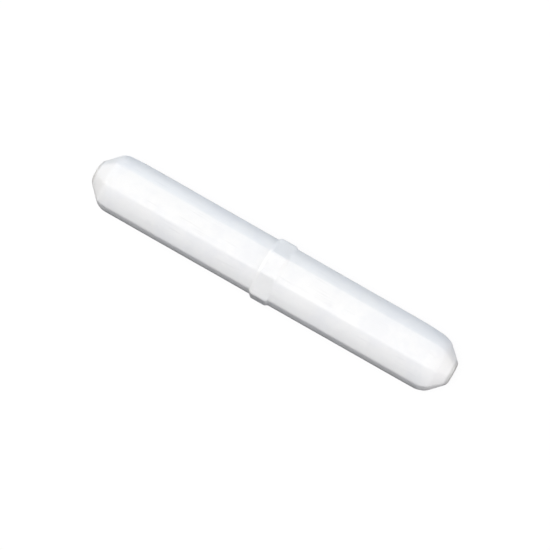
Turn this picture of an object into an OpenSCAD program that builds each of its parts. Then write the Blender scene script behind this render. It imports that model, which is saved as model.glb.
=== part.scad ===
// Magnetic stir bar: an eight-sided moulded PTFE jacket with a pivot ring, sintered round a magnet rod.
// The bar lies along X, resting on the lowest flat of its pivot ring, with +Z up.
// The origin is the middle of that flat, where the bar turns on the floor of a vessel.

/* [Bar] */
// Overall length from tip to tip
bar_length = 50.8; // [40:0.1:80]
// Width of the bar across two opposite flats
across_flats = 7.5; // [6:0.05:10]
// Radius along the eight long edges
edge_radius = 0.8; // [0.2:0.05:1]

/* [Ends] */
// Length of the tapered end, measured along the bar
taper_length = 2.4; // [1.8:0.1:3]
// Width across flats where the taper meets the tip
tip_across_flats = 2.9; // [2.6:0.1:3.6]
// Radius of the shoulder at the -X end
shoulder_radius_back = 2; // [0.5:0.1:3.5]
// Radius of the shoulder at the +X end
shoulder_radius_front = 3; // [0.5:0.1:4]
// Radius where the taper rolls into the tip
tip_radius = 0.4; // [0.3:0.05:0.8]
// Width of the flat spot in the middle of the tip
tip_flat = 1.4; // [1:0.1:1.6]
// Slope of the tip outside its flat spot, in degrees
tip_slope = 7; // [4:0.5:9]
// Radius where the flat spot rolls into that slope
tip_dome_radius = 6; // [3:0.5:6.5]
// How far the sharp corners of the taper are taken back
taper_edge_break = 0.06; // [0.03:0.01:0.1]

/* [Pivot ring] */
// How far the ring stands out from the flats
ring_rise = 0.25; // [0.15:0.025:0.6]
// Width of the ring's crest, along the bar
ring_crest = 1.9; // [1:0.1:4]
// Width of the sloped side of the ring, along the bar
ring_slope = 0.4; // [0.2:0.05:0.8]
// Radius along the ring's eight edges
ring_edge_radius = 0.8; // [0.2:0.05:1]
// Radius where the crest turns into its slopes
crest_radius = 0.25; // [0.1:0.05:0.4]
// Radius where the slopes run into the flats
root_radius = 0.25; // [0.1:0.05:0.4]

/* [Magnet] */
// Jacket wall between the magnet and a flat
side_wall = 1.225; // [0.8:0.025:1.5]
// Jacket wall between the magnet and the tip
end_wall = 3.4; // [2.5:0.1:6]
// Gap left all round the magnet
magnet_fit = 0.025; // [0.01:0.005:0.1]
// Chamfer on the ends of the magnet
magnet_chamfer = 0.4; // [0.2:0.1:0.8]

/* [Hidden] */

$fn = 96;
sides = 8;
corner_stretch = 1 / cos(180 / sides);     // a corner's distance from the axis, for a flat at 1
reach = 2 * across_flats;                  // safely past the bar on every side

half_length = bar_length / 2;
half_flats = across_flats / 2;
half_tip = tip_across_flats / 2;
ring_half_flats = half_flats + ring_rise;
ring_base = ring_crest + 2 * ring_slope;
root_run = root_radius * tan(atan(ring_rise / ring_slope) / 2);
ring_foot = ring_base + 2 * root_run + 0.1;
axis_height = ring_half_flats;

cavity_d = across_flats - 2 * side_wall;
cavity_length = bar_length - 2 * end_wall;
magnet_d = cavity_d - 2 * magnet_fit;
magnet_length = cavity_length - 2 * magnet_fit;

// Unit vector from one point to another
function heading(from, to) = (to - from) / norm(to - from);

// Signed turn at corner b, positive to the left
function turn(a, b, c) = let (u = heading(a, b), v = heading(b, c)) atan2(u.x * v.y - u.y * v.x, u * v);

// Distance from a corner to where its round begins
function tangent_run(a, b, c, r) = r * tan(abs(turn(a, b, c)) / 2);

// Neighbour of corner i in a closed list
function at(corners, i) = corners[(i + len(corners)) % len(corners)];

// Position of corner i, without its radius
function place(corners, i) = let (c = at(corners, i)) [c.x, c.y];

// The two points where the round of corner i touches its edges
function touch_points(corners, i) =
    let (
        a = place(corners, i - 1),
        b = place(corners, i),
        c = place(corners, i + 1),
        run = tangent_run(a, b, c, at(corners, i)[2])
    )
    [b - run * heading(a, b), b + run * heading(b, c)];

// Centre of the round of corner i
function round_centre(corners, i) =
    let (
        a = place(corners, i - 1),
        b = place(corners, i),
        c = place(corners, i + 1),
        side = sign(turn(a, b, c)),
        u = heading(a, b)
    )
    touch_points(corners, i)[0] + side * at(corners, i)[2] * [-u.y, u.x];

// True if corner i of a list that runs anticlockwise points outwards
function is_outer(corners, i) = turn(place(corners, i - 1), place(corners, i), place(corners, i + 1)) > 0;

// Closed outline with a true arc at each corner; each corner is [x, y, radius], running anticlockwise
module rounded_outline(corners) {
    last = len(corners) - 1;
    difference() {
        union() {
            polygon([for (i = [0:last]) each touch_points(corners, i)]);
            for (i = [0:last])
                if (is_outer(corners, i) && at(corners, i)[2] > 0)
                    translate(round_centre(corners, i))
                        circle(r = at(corners, i)[2]);
        }
        for (i = [0:last])
            if (!is_outer(corners, i) && at(corners, i)[2] > 0)
                translate(round_centre(corners, i))
                    circle(r = at(corners, i)[2]);
    }
}

// Upper edge of the bar's side view, from the +X tip to the -X tip
upper_corners = [
    [half_length - taper_length, half_flats, shoulder_radius_front],
    [ring_base / 2, half_flats, root_radius],
    [ring_crest / 2, ring_half_flats, crest_radius],
    [-ring_crest / 2, ring_half_flats, crest_radius],
    [-ring_base / 2, half_flats, root_radius],
    [-half_length + taper_length, half_flats, shoulder_radius_back]
];

// The tapers run on past the tips, so that the turned nose alone shapes the ends
function past_tip(s) =
    let (slope = (half_flats - half_tip) / taper_length, more = half_tip / slope / 2)
    [s * (half_length + more), half_tip - slope * more, 0];

module side_view() {
    top = concat([past_tip(1)], upper_corners, [past_tip(-1)]);
    bottom = [for (i = [len(top) - 1:-1:0]) [top[i].x, -top[i].y, top[i][2]]];
    rounded_outline(concat(top, bottom));
}

// Four flats: the side view swept across the bar, from the side and from above
module four_flats() {
    intersection_for (turn = [0, 90])
        rotate([turn, 0, 0])
            rotate([90, 0, 0])
                linear_extrude(2 * reach, center = true)
                    side_view();
}

// Eight flats: the four-sided form crossed with itself, an eighth of a turn round
module eight_flats() {
    intersection_for (turn = [0, 360 / sides])
        rotate([turn, 0, 0])
            four_flats();
}

// Prism along X with eight flats and rounded long edges
module rounded_prism(length, half_width, radius) {
    corners = [for (k = [0:sides - 1])
        let (a = (k + 0.5) * 360 / sides)
        [half_width * corner_stretch * cos(a), half_width * corner_stretch * sin(a), radius]];
    rotate([0, 90, 0])
        linear_extrude(length, center = true)
            rounded_outline(corners);
}

// Turned blank that rounds both noses: a cone just inside the taper's corners, rolling into a crowned tip
module turned_blank() {
    clear_r = half_flats * corner_stretch + 2 * ring_rise;
    cone_slope = (half_flats - half_tip) * corner_stretch / taper_length;
    cone_tip = half_tip * corner_stretch - taper_edge_break * norm([1, cone_slope]);
    rim = half_length - (cone_tip - tip_flat / 2) * tan(tip_slope);
    shoulder = rim - (clear_r - cone_tip) / cone_slope;
    rotate([0, 90, 0])
        rotate_extrude()
            intersection() {
                rounded_outline([
                    [0, -half_length, 0],
                    [tip_flat / 2, -half_length, tip_dome_radius],
                    [cone_tip, -rim, tip_radius],
                    [clear_r, -shoulder, 0],
                    [clear_r, shoulder, 0],
                    [cone_tip, rim, tip_radius],
                    [tip_flat / 2, half_length, tip_dome_radius],
                    [0, half_length, 0]
                ]);
                translate([0, -bar_length])
                    square([reach, 2 * bar_length]);
            }
}

// The magnet and the cavity it fills: a rod with chamfered ends
module chamfered_rod(d, length, chamfer) {
    rotate([0, 90, 0])
        rotate_extrude()
            polygon([
                [0, -length / 2],
                [d / 2 - chamfer, -length / 2],
                [d / 2, -length / 2 + chamfer],
                [d / 2, length / 2 - chamfer],
                [d / 2 - chamfer, length / 2],
                [0, length / 2]
            ]);
}

module ptfe_jacket() {
    color([0.95, 0.95, 0.94])
        translate([0, 0, axis_height])
            difference() {
                intersection() {
                    eight_flats();
                    turned_blank();
                    union() {
                        rounded_prism(2 * bar_length, half_flats, edge_radius);
                        rounded_prism(ring_foot, ring_half_flats, ring_edge_radius);
                    }
                }
                chamfered_rod(cavity_d, cavity_length, magnet_chamfer);
            }
}

module magnet() {
    color([0.45, 0.45, 0.46])
        translate([0, 0, axis_height])
            chamfered_rod(magnet_d, magnet_length, magnet_chamfer);
}

ptfe_jacket();
magnet();
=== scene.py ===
import math

import bmesh
import bpy
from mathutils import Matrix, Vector


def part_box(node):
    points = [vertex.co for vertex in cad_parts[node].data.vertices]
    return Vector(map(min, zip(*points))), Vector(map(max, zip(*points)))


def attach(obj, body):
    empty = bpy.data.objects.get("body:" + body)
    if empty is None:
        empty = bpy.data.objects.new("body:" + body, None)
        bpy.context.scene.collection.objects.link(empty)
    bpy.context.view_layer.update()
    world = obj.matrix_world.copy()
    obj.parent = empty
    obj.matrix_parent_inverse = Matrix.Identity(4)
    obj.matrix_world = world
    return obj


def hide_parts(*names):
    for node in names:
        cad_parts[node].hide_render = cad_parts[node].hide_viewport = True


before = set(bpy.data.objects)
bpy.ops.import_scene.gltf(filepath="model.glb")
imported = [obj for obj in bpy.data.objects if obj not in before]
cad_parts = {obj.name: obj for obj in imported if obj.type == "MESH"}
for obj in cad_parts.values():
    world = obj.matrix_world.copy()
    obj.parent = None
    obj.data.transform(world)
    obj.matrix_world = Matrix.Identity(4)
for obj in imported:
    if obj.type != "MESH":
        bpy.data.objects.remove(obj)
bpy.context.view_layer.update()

mm = 0.001
hair = 0.01 * mm                         # two places closer than this are the same
lowCorner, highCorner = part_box("ptfe_jacket")
magnetLow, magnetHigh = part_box("magnet")
halfLength = highCorner.x
axisHeight = (lowCorner.z + highCorner.z) / 2
ringHalf = (highCorner.z - lowCorner.z) / 2
axisPoint = Vector((0, 0, axisHeight))
print("stage: frame loaded,", round(2 * halfLength / mm, 1), "mm long")


def clearSelection():
    if bpy.context.object and bpy.context.object.mode == 'EDIT':
        bpy.ops.object.mode_set(mode='OBJECT')
    bpy.ops.object.select_all(action='DESELECT')


def pick(kind, test):
    # in edit mode, selects the faces, edges or verts that pass the test
    modes = {"faces": 'FACE', "edges": 'EDGE', "verts": 'VERT'}
    mesh = bpy.context.object.data
    bpy.ops.mesh.select_mode(type=modes[kind])
    bpy.ops.mesh.select_all(action='DESELECT')
    edit = bmesh.from_edit_mesh(mesh)
    for item in getattr(edit, kind):
        if test(item):
            item.select_set(True)
    edit.select_flush_mode()
    bmesh.update_edit_mesh(mesh)


def fromAxis(point):
    return math.hypot(point.y, point.z - axisHeight)


def turnOf(point):
    # degrees round the bar, from 0 to 360
    return math.degrees(math.atan2(point.z - axisHeight, point.y)) % 360


def cutAcross(x):
    # a loop right round the bar at x
    bpy.ops.mesh.select_all(action='SELECT')
    bpy.ops.mesh.bisect(plane_co=(x, 0, axisHeight), plane_no=(1, 0, 0))


def applyModifier(piece, name):
    bpy.context.view_layer.objects.active = piece
    bpy.ops.object.modifier_apply(modifier=name)


jacket = {
    "bodyHalf": ringHalf - 0.25 * mm,    # axis to the middle of a flat, the ring stands 0.25 proud
    "crown": 0.12 * mm,                  # how far a flat falls away from its middle to its edges
    "crownRise": 0.05 * mm,              # the part of that which stands above a level flat
    "longEdge": 0.25 * mm,               # how far the long edges are rolled back
    "ringCrest": 1.95 * mm,              # along the bar
    "ringBase": 2.75 * mm,
    "ringEdge": 0.09 * mm,
    "ringNarrow": 0.84,                  # its upright and level flats are a little narrower than the others
    "ringSpare": 0.004 * mm,             # what smoothing takes from the crest
    "draft": 0.055 * mm,                 # the back half is slimmer at the ring, and the front half fuller
    "taperLength": 2.4 * mm,
    "tipHalf": 1.45 * mm,                # half the width across flats at the tip
    "tipInset": 0.6 * mm,
    "tipCrown": 0.08 * mm,
    "tipRim": 0.2 * mm,
    "taperRound": 1.0,                   # how nearly round the bar has become at its tips
    "roundingPace": 0.45,                # under 1, most of that comes early in the taper
    "shoulderBack": 0.75 * mm,           # the end at -X is the crisper one
    "shoulderFront": 1.05 * mm,
    "slackBack": 0.1 * mm,               # how far the shoulders fall short on the +Y side
    "slackFront": 0.15 * mm,
    "slackBand": 1.0 * mm,               # along the bar, to either side of a shoulder
    "slackReach": 2.4 * mm,
    "loopSpacing": 1.6 * mm,
    "waver": 0.02 * mm,                  # how much the moulded skin wanders
    "waverSpan": 6 * mm,
    "magnetFit": 0.025 * mm,             # between the magnet and the wall of its cavity
    "cavityChamfer": 0.4 * mm,
}


def isLongEdge(edge):
    # the edges that run along the bar within 5 degrees of the octagon's corners
    a, b = (v.co for v in edge.verts)
    offCorner = max(abs(turnOf(p) % 45 - 22.5) for p in (a, b))
    return abs(a.x - b.x) > 5 * hair and offCorner < 5


def isLoopAt(x, least):
    # the edges of the loop round the bar at x that lie further than least from the axis
    def test(edge):
        return all(abs(v.co.x - x) < 2 * hair and fromAxis(v.co) > least for v in edge.verts)
    return test


def onMidline(point):
    # on a line along the middle of a flat
    return (turnOf(point) + 0.5) % 45 < 1


def drawOutEnd(side, size):
    # the taper, then a tip with a low crown
    pick("faces", lambda f: f.normal.x * side > 0.9)
    bpy.ops.mesh.extrude_region_move(TRANSFORM_OT_translate={"value": (side * size["taperLength"], 0, 0)})
    narrow = size["tipHalf"] / size["bodyHalf"]
    bpy.ops.transform.resize(value=(1, narrow, narrow), center_override=(side * halfLength, 0, axisHeight))
    bpy.ops.transform.translate(value=(-side * size["tipCrown"], 0, 0))
    bpy.ops.mesh.inset(thickness=size["tipInset"])
    bpy.ops.transform.translate(value=(side * size["tipCrown"], 0, 0))


def raiseRing(size):
    for x in (size["ringCrest"] / 2, size["ringBase"] / 2):
        cutAcross(x)
        cutAcross(-x)
    crest = size["ringCrest"] / 2 + hair
    rise = (ringHalf + size["ringSpare"]) / size["bodyHalf"]
    narrow = size["ringNarrow"]
    pick("verts", lambda v: abs(v.co.x) < crest)
    bpy.ops.transform.resize(value=(1, rise, rise), center_override=axisPoint)
    pick("verts", lambda v: abs(v.co.x) < crest and abs(v.co.y) > ringHalf / 2)
    bpy.ops.transform.resize(value=(1, 1, narrow), center_override=axisPoint)
    pick("verts", lambda v: abs(v.co.x) < crest and abs(v.co.y) < ringHalf / 2)
    bpy.ops.transform.resize(value=(1, narrow, 1), center_override=axisPoint)
    for side in (-1, 1):
        foot = side * size["ringBase"] / 2
        pick("verts", lambda v: abs(v.co.x - foot) < hair)
        draft = 1 + side * size["draft"] / size["bodyHalf"]
        bpy.ops.transform.resize(value=(1, draft, draft), center_override=axisPoint)


def rollEdges(size):
    pick("edges", isLongEdge)
    bpy.ops.mesh.bevel(offset=size["longEdge"], segments=4, affect='EDGES')
    tip = halfLength - size["tipCrown"]
    shoulder = halfLength - size["taperLength"]
    outside = size["tipHalf"] * 0.9      # leaves out the loops on the faces of the tips
    rolls = [                            # place, width and steps of each rounding
        (-shoulder, size["shoulderBack"], 6),
        (shoulder, size["shoulderFront"], 8),
        (-tip, size["tipRim"], 4),
        (tip, size["tipRim"], 4),
    ]
    for x in (size["ringCrest"] / 2, size["ringBase"] / 2):
        rolls += [(-x, size["ringEdge"], 2), (x, size["ringEdge"], 2)]
    for x, width, steps in rolls:
        pick("edges", isLoopAt(x, outside))
        bpy.ops.mesh.bevel(offset=width, segments=steps, affect='EDGES')


def crownFlats(size):
    # a line along the middle of each flat is lifted, and all beside it lowered, but not on the ring
    for k in range(4):
        turn = math.radians(45 * k)
        bpy.ops.mesh.select_all(action='SELECT')
        bpy.ops.mesh.bisect(plane_co=axisPoint, plane_no=(0, math.cos(turn), math.sin(turn)))
    straight = halfLength - size["taperLength"]
    crest = size["ringCrest"] / 2 + size["ringEdge"] + hair
    fall = 1 - (size["crown"] - size["crownRise"]) / size["bodyHalf"]
    regained = size["crown"] / 2         # smoothing takes this much back
    lift = 1 + (size["crownRise"] + regained) / size["bodyHalf"]
    pick("verts", lambda v: crest < abs(v.co.x) < straight and not onMidline(v.co))
    bpy.ops.transform.resize(value=(1, fall, fall), center_override=axisPoint)
    pick("verts", lambda v: crest < abs(v.co.x) < straight and onMidline(v.co))
    bpy.ops.transform.resize(value=(1, lift, lift), center_override=axisPoint)


def addStations(size):
    # evenly spaced loops along both halves of the bar
    foot = size["ringBase"] / 2 + size["ringEdge"]
    shoulder = halfLength - size["taperLength"]
    backHalf = (-shoulder + size["shoulderBack"], -foot)
    frontHalf = (foot, shoulder - size["shoulderFront"])
    for start, end in (backHalf, frontHalf):
        count = round((end - start) / size["loopSpacing"])
        for k in range(1, count):
            cutAcross(start + (end - start) * k / count)


def roundTapers(size):
    # the octagon turns rounder, loop by loop, from the shoulders to the tips
    shoulder = halfLength - size["taperLength"]
    reach = size["taperLength"] - size["tipCrown"]
    least = size["tipHalf"] * 0.8        # leaves out the faces of the tips
    bpy.ops.object.mode_set(mode='OBJECT')
    corners = [v.co for v in bpy.context.object.data.vertices]
    stops = {round(p.x / mm, 2) for p in corners if abs(p.x) > shoulder and fromAxis(p) > least}
    bpy.ops.object.mode_set(mode='EDIT')
    for stop in sorted(stops):
        x = stop * mm
        pick("verts", lambda v: abs(v.co.x - x) < hair and fromAxis(v.co) > least)
        share = min(1.0, (abs(x) - shoulder) / reach) ** size["roundingPace"]
        bpy.ops.transform.tosphere(value=size["taperRound"] * share)


def slackenShoulders(size):
    # the far side of both shoulders is drawn in a little, and fades out around
    shoulder = halfLength - size["taperLength"]
    farSide = size["bodyHalf"] * 0.8
    for side, slack in ((-1, size["slackBack"]), (1, size["slackFront"])):
        pick("verts", lambda v: abs(side * v.co.x - shoulder) < size["slackBand"] and v.co.y > farSide)
        bpy.ops.transform.translate(
            value=(0, -slack, 0), use_proportional_edit=True,
            proportional_edit_falloff='SMOOTH', proportional_size=size["slackReach"])


def addCavity(piece, size):
    # the sealed hollow that the magnet fills: a rod-shaped shell that faces inwards
    radius = (magnetHigh.z - magnetLow.z) / 2 + size["magnetFit"]
    length = magnetHigh.x - magnetLow.x + 2 * size["magnetFit"]
    clearSelection()
    bpy.ops.mesh.primitive_cylinder_add(
        vertices=64, radius=radius, depth=length, end_fill_type='NGON',
        location=axisPoint, rotation=(math.pi / 2, 0, math.pi / 2))
    hollow = bpy.context.object
    bpy.ops.object.transform_apply(location=True, rotation=True, scale=True)
    bpy.ops.object.mode_set(mode='EDIT')
    pick("edges", lambda e: abs(e.verts[0].co.x - e.verts[1].co.x) < hair)
    bpy.ops.mesh.bevel(offset=size["cavityChamfer"], segments=1, affect='EDGES')
    bpy.ops.mesh.select_all(action='SELECT')
    bpy.ops.mesh.normals_make_consistent(inside=True)
    bpy.ops.object.mode_set(mode='OBJECT')
    hollow.select_set(True)
    piece.select_set(True)
    bpy.context.view_layer.objects.active = piece
    bpy.ops.object.join()


def buildJacket(size):
    clearSelection()
    cornerRadius = size["bodyHalf"] / math.cos(math.pi / 8)
    straight = 2 * (halfLength - size["taperLength"])
    bpy.ops.mesh.primitive_cylinder_add(
        vertices=8, radius=cornerRadius, depth=straight,
        location=axisPoint, rotation=(math.pi / 2, math.pi / 8, math.pi / 2))
    piece = bpy.context.object
    piece.name = "ptfeMoulding"
    bpy.ops.object.transform_apply(location=True, rotation=True, scale=True)
    bpy.ops.object.mode_set(mode='EDIT')
    drawOutEnd(-1, size)
    drawOutEnd(1, size)
    raiseRing(size)
    rollEdges(size)
    addStations(size)
    crownFlats(size)
    roundTapers(size)
    slackenShoulders(size)
    bpy.ops.object.mode_set(mode='OBJECT')

    smooth = piece.modifiers.new("smooth", 'SUBSURF')
    smooth.levels = smooth.render_levels = 2
    applyModifier(piece, "smooth")

    clouds = bpy.data.textures.new("mouldedSkin", 'CLOUDS')
    clouds.noise_scale = size["waverSpan"]
    waver = piece.modifiers.new("waver", 'DISPLACE')
    waver.texture = clouds
    waver.texture_coords = 'LOCAL'
    waver.strength = size["waver"]
    waver.mid_level = 1.0                # only ever inwards
    applyModifier(piece, "waver")

    addCavity(piece, size)
    bpy.ops.object.shade_smooth_by_angle(angle=math.radians(40))
    return piece


jacketPiece = buildJacket(jacket)
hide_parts("ptfe_jacket")
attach(jacketPiece, "root")
print("stage: jacket modelled,", len(jacketPiece.data.polygons), "faces")


def newMaterial(name):
    made = bpy.data.materials.new(name)
    made.use_nodes = True
    return made, made.node_tree.nodes, made.node_tree.links


def newGroup(name, inputs, outputs):
    # a node group with named sockets, each given as (name, kind, value)
    group = bpy.data.node_groups.new(name, 'ShaderNodeTree')
    for label, kind, value in inputs:
        socket = group.interface.new_socket(label, in_out='INPUT', socket_type="NodeSocket" + kind)
        if value is not None:
            socket.default_value = value
    for label, kind in outputs:
        group.interface.new_socket(label, in_out='OUTPUT', socket_type="NodeSocket" + kind)
    return group, group.nodes.new("NodeGroupInput"), group.nodes.new("NodeGroupOutput")


# in the helpers below, a value is a socket to link or a plain number
def noise(nodes, links, vector, scale, detail=3.0, roughness=0.5):
    made = nodes.new("ShaderNodeTexNoise")
    made.inputs["Detail"].default_value = detail
    made.inputs["Roughness"].default_value = roughness
    links.new(vector, made.inputs["Vector"])
    if isinstance(scale, (int, float)):
        made.inputs["Scale"].default_value = scale
    else:
        links.new(scale, made.inputs["Scale"])
    return made.outputs["Fac"]


def calc(nodes, links, operation, a, b):
    made = nodes.new("ShaderNodeMath")
    made.operation = operation
    for k, value in enumerate((a, b)):
        if isinstance(value, (int, float)):
            made.inputs[k].default_value = value
        else:
            links.new(value, made.inputs[k])
    return made.outputs[0]


def spread(nodes, links, value, low, high, toLow=0.0, toHigh=1.0):
    made = nodes.new("ShaderNodeMapRange")
    made.interpolation_type = 'SMOOTHSTEP'
    links.new(value, made.inputs["Value"])
    for label, number in zip(("From Min", "From Max", "To Min", "To Max"), (low, high, toLow, toHigh)):
        if isinstance(number, (int, float)):
            made.inputs[label].default_value = number
        else:
            links.new(number, made.inputs[label])
    return made.outputs["Result"]


def buildMottle():
    # slow clouds of one colour in another, with a finer break-up in them
    group, start, end = newGroup(
        "mottle",
        [("Vector", "Vector", None), ("Scale", "Float", 300.0), ("Amount", "Float", 1.0),
         ("Ground", "Color", (0.8, 0.8, 0.8, 1)), ("Cloud", "Color", (0.7, 0.7, 0.7, 1))],
        [("Color", "Color"), ("Mask", "Float")])
    nodes, links = group.nodes, group.links
    slow = noise(nodes, links, start.outputs["Vector"], start.outputs["Scale"], detail=2.0)
    finer = calc(nodes, links, 'MULTIPLY', start.outputs["Scale"], 5.3)
    fine = noise(nodes, links, start.outputs["Vector"], finer, detail=4.0, roughness=0.6)
    slow = calc(nodes, links, 'MULTIPLY', slow, 0.7)
    fine = calc(nodes, links, 'MULTIPLY', fine, 0.3)
    both = calc(nodes, links, 'ADD', slow, fine)
    mask = spread(nodes, links, both, low=0.38, high=0.62)
    mask = calc(nodes, links, 'MULTIPLY', mask, start.outputs["Amount"])
    mix = nodes.new("ShaderNodeMix")
    mix.data_type = 'RGBA'
    links.new(mask, mix.inputs["Factor"])
    links.new(start.outputs["Ground"], mix.inputs["A"])
    links.new(start.outputs["Cloud"], mix.inputs["B"])
    links.new(mix.outputs["Result"], end.inputs["Color"])
    links.new(mask, end.inputs["Mask"])
    return group


def buildGrain():
    # height of a close-grained surface: a soft orange peel with finer grain on it
    group, start, end = newGroup(
        "grain",
        [("Vector", "Vector", None), ("Scale", "Float", 2500.0), ("Fineness", "Float", 4.0),
         ("Fine share", "Float", 0.35)],
        [("Height", "Float")])
    nodes, links = group.nodes, group.links
    peel = noise(nodes, links, start.outputs["Vector"], start.outputs["Scale"], detail=1.0)
    fineScale = calc(nodes, links, 'MULTIPLY', start.outputs["Scale"], start.outputs["Fineness"])
    fine = noise(nodes, links, start.outputs["Vector"], fineScale, detail=3.0, roughness=0.6)
    fine = calc(nodes, links, 'MULTIPLY', fine, start.outputs["Fine share"])
    links.new(calc(nodes, links, 'ADD', peel, fine), end.inputs["Height"])
    return group


def buildScratches():
    # fine lines that run the way the stretched coordinates give them, broken up in patches
    group, start, end = newGroup(
        "scratches",
        [("Vector", "Vector", None), ("Stretch", "Vector", (60.0, 6000.0, 6000.0)),
         ("Amount", "Float", 0.3), ("Patch scale", "Float", 250.0)],
        [("Mask", "Float")])
    nodes, links = group.nodes, group.links
    stretched = nodes.new("ShaderNodeVectorMath")
    stretched.operation = 'MULTIPLY'
    links.new(start.outputs["Vector"], stretched.inputs[0])
    links.new(start.outputs["Stretch"], stretched.inputs[1])
    lines = noise(nodes, links, stretched.outputs["Vector"], scale=1.0, detail=2.0)
    lines = spread(nodes, links, lines, low=0.6, high=0.72)
    patches = noise(nodes, links, start.outputs["Vector"], start.outputs["Patch scale"], detail=2.0)
    patches = spread(nodes, links, patches, low=0.45, high=0.65)
    mask = calc(nodes, links, 'MULTIPLY', lines, patches)
    links.new(calc(nodes, links, 'MULTIPLY', mask, start.outputs["Amount"]), end.inputs["Mask"])
    return group


mottle = buildMottle()
grain = buildGrain()
scratches = buildScratches()


def place(nodes, links, group, vector, **values):
    # a group node on these coordinates, with its own values
    made = nodes.new("ShaderNodeGroup")
    made.node_tree = group
    links.new(vector, made.inputs["Vector"])
    for label, value in values.items():
        made.inputs[label.replace("_", " ")].default_value = value
    return made.outputs


def mixed(nodes, links, factor, a, b):
    made = nodes.new("ShaderNodeMix")
    made.data_type = 'RGBA'
    for label, value in (("Factor", factor), ("A", a), ("B", b)):
        if isinstance(value, (int, float, tuple)):
            made.inputs[label].default_value = value
        else:
            links.new(value, made.inputs[label])
    return made.outputs["Result"]


def bumped(nodes, links, height, distance, strength, base=None):
    made = nodes.new("ShaderNodeBump")
    made.inputs["Distance"].default_value = distance
    made.inputs["Strength"].default_value = strength
    links.new(height, made.inputs["Height"])
    if base:
        links.new(base, made.inputs["Normal"])
    return made.outputs["Normal"]


ptfe = {
    "white": (0.93, 0.93, 0.935, 1),
    "cloud": (0.885, 0.89, 0.905, 1),
    "rubbed": (0.8, 0.8, 0.81, 1),
    "rimShade": (0.66, 0.66, 0.655, 1),   # painted shade on the rims of the tips
    "rimShadeReach": 0.6 * mm,              # along the bar from the tip
    "rimShadeFull": 0.25 * mm,
    "rimStart": 0.7 * mm,                # from the axis
    "rimFull": 1.4 * mm,
    "roughness": 0.48,
    "cloudRoughness": 0.08,              # added in the clouds
    "rubbedRoughness": 0.2,              # and along the scuffs
    "refraction": 1.35,
    "scatterDepth": 0.3 * mm,
}


def paintedRimShade(nodes, links, spot, finish):
    # painted shade: the rims of the tips are greyed in patches, where the ends turn away from the light
    axes = nodes.new("ShaderNodeSeparateXYZ")
    links.new(spot, axes.inputs[0])
    outwards = calc(nodes, links, 'ABSOLUTE', axes.outputs["X"], 0.0)
    atTip = spread(
        nodes, links, outwards, halfLength - finish["rimShadeReach"], halfLength - finish["rimShadeFull"])
    high = calc(nodes, links, 'SUBTRACT', axes.outputs["Z"], axisHeight)
    squares = [calc(nodes, links, 'POWER', side, 2.0) for side in (axes.outputs["Y"], high)]
    fromMiddle = calc(nodes, links, 'SQRT', calc(nodes, links, 'ADD', *squares), 0.0)
    atRim = spread(nodes, links, fromMiddle, finish["rimStart"], finish["rimFull"], toLow=0.1)
    patchy = spread(nodes, links, noise(nodes, links, spot, scale=1500.0), low=0.3, high=0.6, toLow=0.6)
    shadedRim = calc(nodes, links, 'MULTIPLY', atTip, atRim)
    return calc(nodes, links, 'MULTIPLY', shadedRim, patchy)


def paintJacket(piece, finish):
    paint, nodes, links = newMaterial("sinteredPtfe")
    shader = nodes["Principled BSDF"]
    spot = nodes.new("ShaderNodeTexCoord").outputs["Object"]

    clouds = place(
        nodes, links, mottle, spot, Scale=220.0, Ground=finish["white"], Cloud=finish["cloud"])
    scuffs = place(
        nodes, links, scratches, spot, Stretch=(150.0, 5200.0, 5200.0), Amount=0.5, Patch_scale=320.0)
    colour = mixed(nodes, links, scuffs["Mask"], clouds["Color"], finish["rubbed"])
    # painted shade greys the rims of the tips
    colour = mixed(nodes, links, paintedRimShade(nodes, links, spot, finish), colour, finish["rimShade"])
    links.new(colour, shader.inputs["Base Color"])

    rougher = calc(nodes, links, 'MULTIPLY', clouds["Mask"], finish["cloudRoughness"])
    rough = calc(nodes, links, 'ADD', finish["roughness"], rougher)
    rougher = calc(nodes, links, 'MULTIPLY', scuffs["Mask"], finish["rubbedRoughness"])
    links.new(calc(nodes, links, 'ADD', rough, rougher), shader.inputs["Roughness"])

    skin = place(nodes, links, grain, spot, Scale=1800.0, Fineness=4.0, Fine_share=0.4)
    bump = bumped(nodes, links, skin["Height"], distance=0.014 * mm, strength=0.8)
    links.new(bump, shader.inputs["Normal"])

    shader.inputs["IOR"].default_value = finish["refraction"]
    shader.inputs["Subsurface Weight"].default_value = 1.0
    shader.inputs["Subsurface Radius"].default_value = (1.0, 1.0, 1.0)
    shader.inputs["Subsurface Scale"].default_value = finish["scatterDepth"]
    piece.data.materials.clear()
    piece.data.materials.append(paint)


paintJacket(jacketPiece, ptfe)

castMagnet = {
    "metal": (0.47, 0.455, 0.44, 1),
    "dull": (0.33, 0.32, 0.31, 1),
    "ground": (0.6, 0.59, 0.575, 1),     # along the marks of the grinding wheel
    "roughness": 0.36,
    "dullRoughness": 0.18,               # added where it is dull
    "groundRoughness": 0.12,             # taken off along the marks
}


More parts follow.
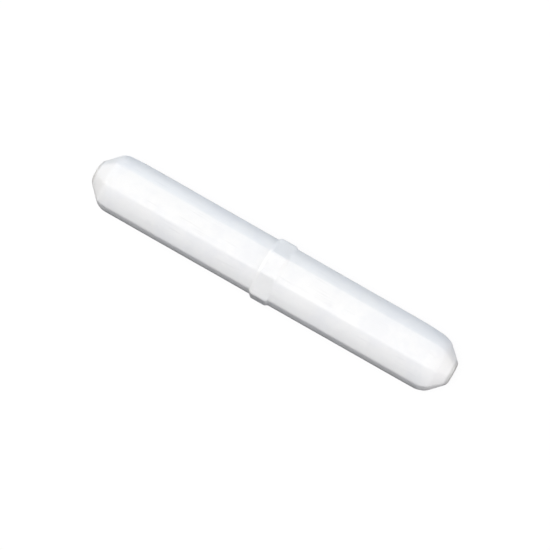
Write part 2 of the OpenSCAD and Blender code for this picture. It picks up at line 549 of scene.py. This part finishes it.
def paintMagnet(rod, finish):
    # ground round its length, so the marks run round it
    paint, nodes, links = newMaterial("groundCastMagnet")
    shader = nodes["Principled BSDF"]
    spot = nodes.new("ShaderNodeTexCoord").outputs["Object"]

    clouds = place(
        nodes, links, mottle, spot, Scale=420.0, Ground=finish["metal"], Cloud=finish["dull"])
    marks = place(
        nodes, links, scratches, spot, Stretch=(9000.0, 260.0, 260.0), Amount=0.8, Patch_scale=150.0)
    colour = mixed(nodes, links, marks["Mask"], clouds["Color"], finish["ground"])
    links.new(colour, shader.inputs["Base Color"])

    rougher = calc(nodes, links, 'MULTIPLY', clouds["Mask"], finish["dullRoughness"])
    rough = calc(nodes, links, 'ADD', finish["roughness"], rougher)
    smoother = calc(nodes, links, 'MULTIPLY', marks["Mask"], finish["groundRoughness"])
    links.new(calc(nodes, links, 'SUBTRACT', rough, smoother), shader.inputs["Roughness"])

    pits = place(nodes, links, grain, spot, Scale=2600.0, Fineness=3.0, Fine_share=0.6)
    scored = bumped(nodes, links, marks["Mask"], distance=0.004 * mm, strength=0.5)
    bump = bumped(nodes, links, pits["Height"], distance=0.008 * mm, strength=0.5, base=scored)
    links.new(bump, shader.inputs["Normal"])

    shader.inputs["Metallic"].default_value = 1.0
    rod.data.materials.clear()
    rod.data.materials.append(paint)


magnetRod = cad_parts["magnet"]
paintMagnet(magnetRod, castMagnet)
print("stage: materials")

studio = {
    "floorSize": 3.0,
    "floorGrey": 0.1,
    "floorGlow": 0.912,                  # seen by the camera only
    "azimuth": 30.28,
    "elevation": 77.4,
    "distance": 0.3,
    "aim": Vector((0.33, -0.18, 3.83)) * mm,
    "viewWidth": 67.818 * mm,            # what the view takes in, at the aim
    "lampDistance": 0.8,
    "lamps": [                           # name, degrees round and up, level, colour, width of its disc
        ("keyLamp", 0, 78, 0.88, (1.0, 1.0, 1.0), 0.5),
        ("leftLamp", 270, 12, 0.46, (1.0, 0.96, 0.9), 0.5),
        ("rightLamp", 90, 12, 0.46, (1.0, 0.97, 0.97), 0.5),
        ("backLamp", 198, 4, 0.29, (0.84, 1.0, 1.2), 0.1),
        ("frontLamp", 0, 15, 0.012, (0.2, 0.8, 2.0), 0.5),
    ],
}


def buildFloor(size):
    clearSelection()
    bpy.ops.mesh.primitive_plane_add(size=size["floorSize"], location=(0, 0, 0))
    floor = bpy.context.object
    floor.name = "floor"
    paint, nodes, links = newMaterial("floorPaint")
    nodes.clear()
    out = nodes.new("ShaderNodeOutputMaterial")
    diffuse = nodes.new("ShaderNodeBsdfDiffuse")
    glow = nodes.new("ShaderNodeEmission")
    both = nodes.new("ShaderNodeAddShader")
    diffuse.inputs["Color"].default_value = (size["floorGrey"],) * 3 + (1,)
    seen = nodes.new("ShaderNodeLightPath").outputs["Is Camera Ray"]
    links.new(calc(nodes, links, 'MULTIPLY', seen, size["floorGlow"]), glow.inputs["Strength"])
    links.new(diffuse.outputs[0], both.inputs[0])
    links.new(glow.outputs[0], both.inputs[1])
    links.new(both.outputs[0], out.inputs["Surface"])
    floor.data.materials.append(paint)


def towards(azimuth, elevation):
    # unit vector, azimuth in degrees from -Y round by +X
    az, el = math.radians(azimuth), math.radians(elevation)
    return Vector((math.sin(az) * math.cos(el), -math.cos(az) * math.cos(el), math.sin(el)))


def softLamp(size, name, azimuth, elevation, level, colour, across):
    # level is the share of full white that the lamp alone gives a white face turned to it
    away = size["lampDistance"]
    lamp = bpy.data.lights.new(name, 'AREA')
    lamp.shape = 'DISK'
    lamp.size = across
    lamp.color = colour
    lamp.energy = level * math.pi ** 2 * (away ** 2 + (across / 2) ** 2)
    holder = bpy.data.objects.new(name, lamp)
    bpy.context.scene.collection.objects.link(holder)
    holder.location = towards(azimuth, elevation) * away
    holder.rotation_euler = holder.location.to_track_quat('Z', 'Y').to_euler()
    holder.visible_camera = False


def buildWorld():
    # dark to the object, and plain white to the camera
    world = bpy.data.worlds.new("studio")
    world.use_nodes = True
    nodes, links = world.node_tree.nodes, world.node_tree.links
    nodes.clear()
    out = nodes.new("ShaderNodeOutputWorld")
    white = nodes.new("ShaderNodeBackground")
    white.inputs["Color"].default_value = (1, 1, 1, 1)
    seen = nodes.new("ShaderNodeLightPath").outputs["Is Camera Ray"]
    links.new(seen, white.inputs["Strength"])
    links.new(white.outputs[0], out.inputs["Surface"])
    bpy.context.scene.world = world


def buildCamera(size):
    lens = bpy.data.cameras.new("camera")
    camera = bpy.data.objects.new("camera", lens)
    bpy.context.scene.collection.objects.link(camera)
    back = towards(size["azimuth"], size["elevation"])
    camera.location = size["aim"] + back * size["distance"]
    camera.rotation_euler = back.to_track_quat('Z', 'Y').to_euler()
    lens.lens = lens.sensor_width * size["distance"] / size["viewWidth"]
    lens.clip_start = 0.01
    bpy.context.scene.camera = camera


buildFloor(studio)
buildWorld()
for lamp in studio["lamps"]:
    softLamp(studio, *lamp)
buildCamera(studio)
bpy.context.scene.view_settings.view_transform = 'Standard'
print("stage: floor, lamps and camera")

bpy.context.view_layer.update()
